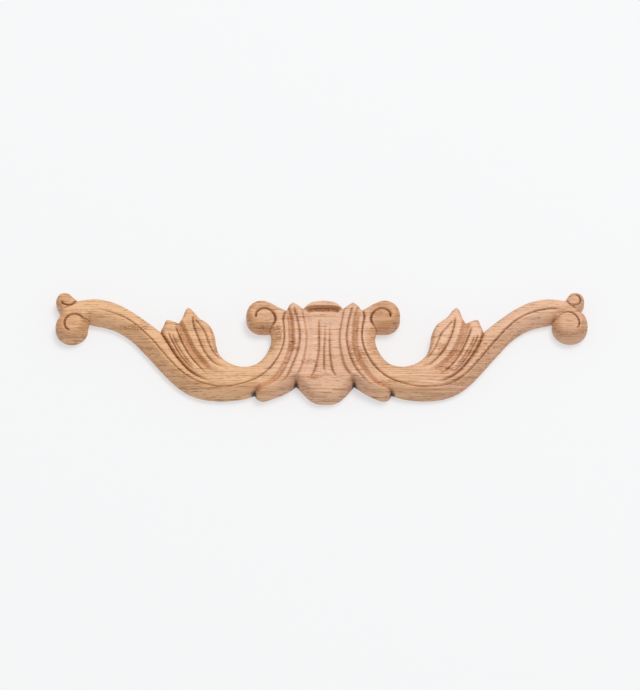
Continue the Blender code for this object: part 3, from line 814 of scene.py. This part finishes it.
def oak():
    """Solid oak: growth rings, pores and fibres that run along the length, wherever it is cut, with shade
    painted into its cuts, hollows and notches.
    """
    material = bpy.data.materials.new("oak")
    material.use_nodes = True
    tree = material.node_tree
    shader = tree.nodes["Principled BSDF"]
    start = Wire(tree, None)
    place = start.make("ShaderNodeTexCoord", {}, {}, "Object")
    x, y, z = [part / MM for part in place.parts()]
    level = y + z * LEAN
    lean = start.make("ShaderNodeCombineXYZ", {}, {0: x * MM, 1: level * MM, 2: z * MM})

    sideways, _, upwards = start.make("ShaderNodeTexCoord", {}, {}, "Normal").parts()
    tilt = 1 - upwards.between(*FLAT)
    wall = 1 - upwards.between(*NOT_A_WALL)
    across = sideways.size().between(*END_GRAIN)
    stroke, hollow, boss = [start.make("ShaderNodeAttribute", {"attribute_name": name}, {}, "Fac")
                            for name in ("stroke", "hollow", "boss")]
    deep = hollow.between(*DEEP)
    hollow = hollow.between(*SHALLOW)

    # Where the wood is calm, where the gouge tore it, and where pores crowd
    calm = calm_panel(x, y)
    lively = 1.35 - calm * 0.8 - x.between(*RIGHT_ARM) * 0.4
    torn = largest([torn_patch(x, level, *spot) for spot in TORN])
    wander = lean.noise(WANDER_CELL, 3, 0.6)
    early = early_wood(lean, level, wander)
    clusters = place.noise(PORE_CLUSTER_CELL).between(*SPARSE)
    on_slopes = tilt * lean.noise(SLOPE_CLUSTER_CELL).between(*FIRM)
    crowd = 0.30 + early * 0.35 + clusters * 0.30 + on_slopes * 0.45
    crowd = crowd + across * 0.20 + torn * 0.45 - calm * 0.08
    pores = pore_streaks(lean, crowd)

    # Tone: 0 is the palest wood and 1 the tan of late wood
    patches = place.noise(PATCH_CELL).between(*FIRM)
    crumbs = place.noise(CRUMB_CELL, 1, 0.6).between(*CRISP) - 0.5
    grit = place.noise(GRIT_CELL, 1, 0.6).between(*CRISP) - 0.5
    fibres = lean.noise(FIBRE_CELL, 2, 0.6).between(*CRISP) - 0.5
    bands = lean.noise(BAND_CELL).between(*SOFT) - 0.5
    clouds = place.noise(CLOUD_CELL, 2) - 0.5
    tone = (early * 0.52 - 0.09 + fibres * 0.66 + bands * 0.36) * lively * (0.9 + tilt * 0.12)
    tone = tone + clouds * 0.6 + 0.27 + boss * 0.13
    tone = tone + across * ((crumbs * 0.35 + grit * 0.45) * (0.3 + patches) + 0.1)
    tone = tone + hollow * crumbs * 0.4 + crumbs * patches * (1 - calm) * 0.30
    tone = tone + torn * (crumbs * 1.3 + grit * 0.6 + 0.26)

    # Painted shade darkens the floor under the overhanging lip, and three regions are a little darker or
    # paler
    under_lip = x.around(LIP_MIDDLE, *LIP_WIDTH) * y.between(*LIP_FLOOR) * (1 - y.between(*LIP_EDGE_Y))
    on_bulb = (1 - y.between(*BULB_TOP)) * x.around(BULB_MIDDLE, *BULB_WIDTH)
    low_right = x.between(*LOW_RIGHT_X) * (1 - y.between(*LOW_RIGHT_Y))
    right_leaf = x.between(*RIGHT_LEAF_X) * y.between(*RIGHT_LEAF_Y)
    tone = tone + under_lip * (crumbs * 0.5 + 0.16)
    tone = tone - on_bulb * 0.30 + low_right * 0.15 - right_leaf * 0.10

    # Pale wood, rosier at the middle and on the right, then tan, rust and the dark of pores; painted shade
    # darkens the hollows, the floor under the lip, the cuts and the notches
    rosy = x.around(ROSY_MIDDLE, *ROSY_WIDTH).larger(x.between(*ROSY_RIGHT) * 0.75) * (1 - on_bulb * 0.35)
    right_scroll = x.between(*RIGHT_SCROLL_FROM) * (1 - x.between(*RIGHT_SCROLL_TO))
    colour = start.make("ShaderNodeMix", {"data_type": "RGBA"}, {0: rosy, 6: HONEY, 7: ROSE}, 2)
    colour = colour.towards(TAN, tone.between(-0.05, 1.1))
    colour = colour.towards(RUST, across * 0.24)
    # Painted shade: the hollows are darkened towards rust, less so on the right
    colour = colour.towards(RUST, hollow * (0.42 - x.between(*RIGHT_HOLLOWS) * 0.28))
    colour = colour.towards(RUST, torn * (crumbs * 0.5 + 0.30))
    # Painted shade on the floor under the overhanging lip
    colour = colour.towards(RUST, under_lip * 0.42)
    colour = colour.towards(RUST, boss * (0.22 + right_scroll * 0.16))
    # Painted shade in the deepest hollows
    colour = colour.towards(CUT_SHADE, deep * 0.62)
    checks = largest([check_line(x, level, wander, *check) for check in CHECKS])
    joint = y.around(JOINT_Y, *JOINT_WIDTH) * x.between(*JOINT_FROM) * (1 - x.between(*JOINT_TO))
    colour = colour.towards(PORE, largest([pores * 0.72, checks, joint * JOINT_SHARE]))
    uneven = place.noise(UNEVEN_CELL).between(*SOFT)
    beads = lean.noise(BEAD_CELL).between(*SPARSE)
    # Painted shade along the bottom of a V tool's stroke, with the darker crushed grain there, uneven and
    # broken into beads
    colour = colour.towards(CUT_SHADE, stroke.between(*STROKE) * (0.12 + uneven * 0.16 + beads * 0.42))
    # Painted shade, with some dust, low on the side wall in the notches, where the walls shade each other
    shade_and_dust = largest([notch_shade_and_dust(x, y, side, notch) for notch in NOTCHES for side in (1, -1)])
    colour = colour.towards(NOTCH_SHADE_AND_DUST, shade_and_dust * wall * (1 - z.between(*NOTCH_TOP)) * NOTCH_SHARE)

    relief = fibres * 0.07 - pores * 0.20 + across * crumbs * 0.15
    bump = start.make("ShaderNodeBump", {}, {"Height": relief, "Strength": 0.6, "Distance": MM})
    roughness = 0.52 + pores * 0.25
    tree.links.new(colour.socket, shader.inputs["Base Color"])
    tree.links.new(roughness.socket, shader.inputs["Roughness"])
    tree.links.new(bump.socket, shader.inputs["Normal"])
    shader.inputs["Specular IOR Level"].default_value = 0.45
    return material


applique = sawn_blank()
carve(applique)
applique.data.materials.append(oak())
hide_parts("applique")
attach(applique, "root")


# The table, the light and the camera
VIEW_ELEVATION = 63.0            # degrees above the table, from the lower edge of the ornament
VIEW_DISTANCE = 4.0              # metres
PHOTO_WIDTH, PHOTO_HEIGHT = 640, 690
MM_PER_PIXEL = 0.75
MIDDLE_PIXEL = (321.5, 352.0)    # where the origin stands in the photo
SENSOR = 36.0                    # millimetres
FARTHEST = 50                    # metres from the camera
TABLE_SIZE, TABLE_TOP = 8, -0.2  # metres, and millimetres under the back
TABLE_GREY = (0.40, 0.40, 0.40, 1)
TABLE_GLOW = (0.975, 0.985, 1.0, 1)
GLOW_STRENGTH = 0.50
SKY_STRENGTH = 0.63
LAMP_PLACE, LAMP_SIZE, LAMP_WATTS = (1.3, 2.2, 5.3), (2.6, 2.0), 186     # metres


def make_table():
    """A pale table that glows a little, so that the shadows on it stay faint."""
    deselect_all()
    bpy.ops.mesh.primitive_plane_add(size=TABLE_SIZE, location=(0, 0, TABLE_TOP * MM))
    table = bpy.context.object
    table.name = "table_top"
    material = bpy.data.materials.new("pale_table")
    material.use_nodes = True
    shader = material.node_tree.nodes["Principled BSDF"]
    shader.inputs["Base Color"].default_value = TABLE_GREY
    shader.inputs["Roughness"].default_value = 0.9
    shader.inputs["Specular IOR Level"].default_value = 0.1
    shader.inputs["Emission Color"].default_value = TABLE_GLOW
    shader.inputs["Emission Strength"].default_value = GLOW_STRENGTH
    table.data.materials.append(material)


def make_camera():
    """A camera at the photo's angle, aimed so that the origin stands at its pixel."""
    down = math.radians(VIEW_ELEVATION)
    right = (PHOTO_WIDTH / 2 - MIDDLE_PIXEL[0]) * MM_PER_PIXEL * MM
    up = (MIDDLE_PIXEL[1] - PHOTO_HEIGHT / 2) * MM_PER_PIXEL * MM / math.sin(down)
    aim = Vector((right, up, 0))
    back = Vector((0, -math.cos(down), math.sin(down)))
    deselect_all()
    bpy.ops.object.camera_add(location=aim + back * VIEW_DISTANCE)
    camera = bpy.context.object
    camera.rotation_euler = (math.radians(90 - VIEW_ELEVATION), 0, 0)
    camera.data.sensor_width = SENSOR
    camera.data.lens = SENSOR * VIEW_DISTANCE / (PHOTO_HEIGHT * MM_PER_PIXEL * MM)
    camera.data.clip_end = FARTHEST
    bpy.context.scene.camera = camera


def soft_lamp(name, place, size, watts):
    """A rectangular soft box that points at the middle of the ornament."""
    deselect_all()
    bpy.ops.object.light_add(type="AREA", location=place)
    lamp = bpy.context.object
    lamp.name = name
    lamp.data.shape = "RECTANGLE"
    lamp.data.size, lamp.data.size_y = size
    lamp.data.energy = watts
    lamp.rotation_euler = (-Vector(place)).to_track_quat("-Z", "Y").to_euler()


def make_light():
    """An even white sky with one soft lamp behind the ornament."""
    scene = bpy.context.scene
    scene.view_settings.view_transform = "Standard"
    scene.world = bpy.data.worlds.new("studio")
    scene.world.use_nodes = True
    background = scene.world.node_tree.nodes["Background"]
    background.inputs["Color"].default_value = (1, 1, 1, 1)
    background.inputs["Strength"].default_value = SKY_STRENGTH
    soft_lamp("back_light", LAMP_PLACE, LAMP_SIZE, LAMP_WATTS)


make_table()
make_camera()
make_light()
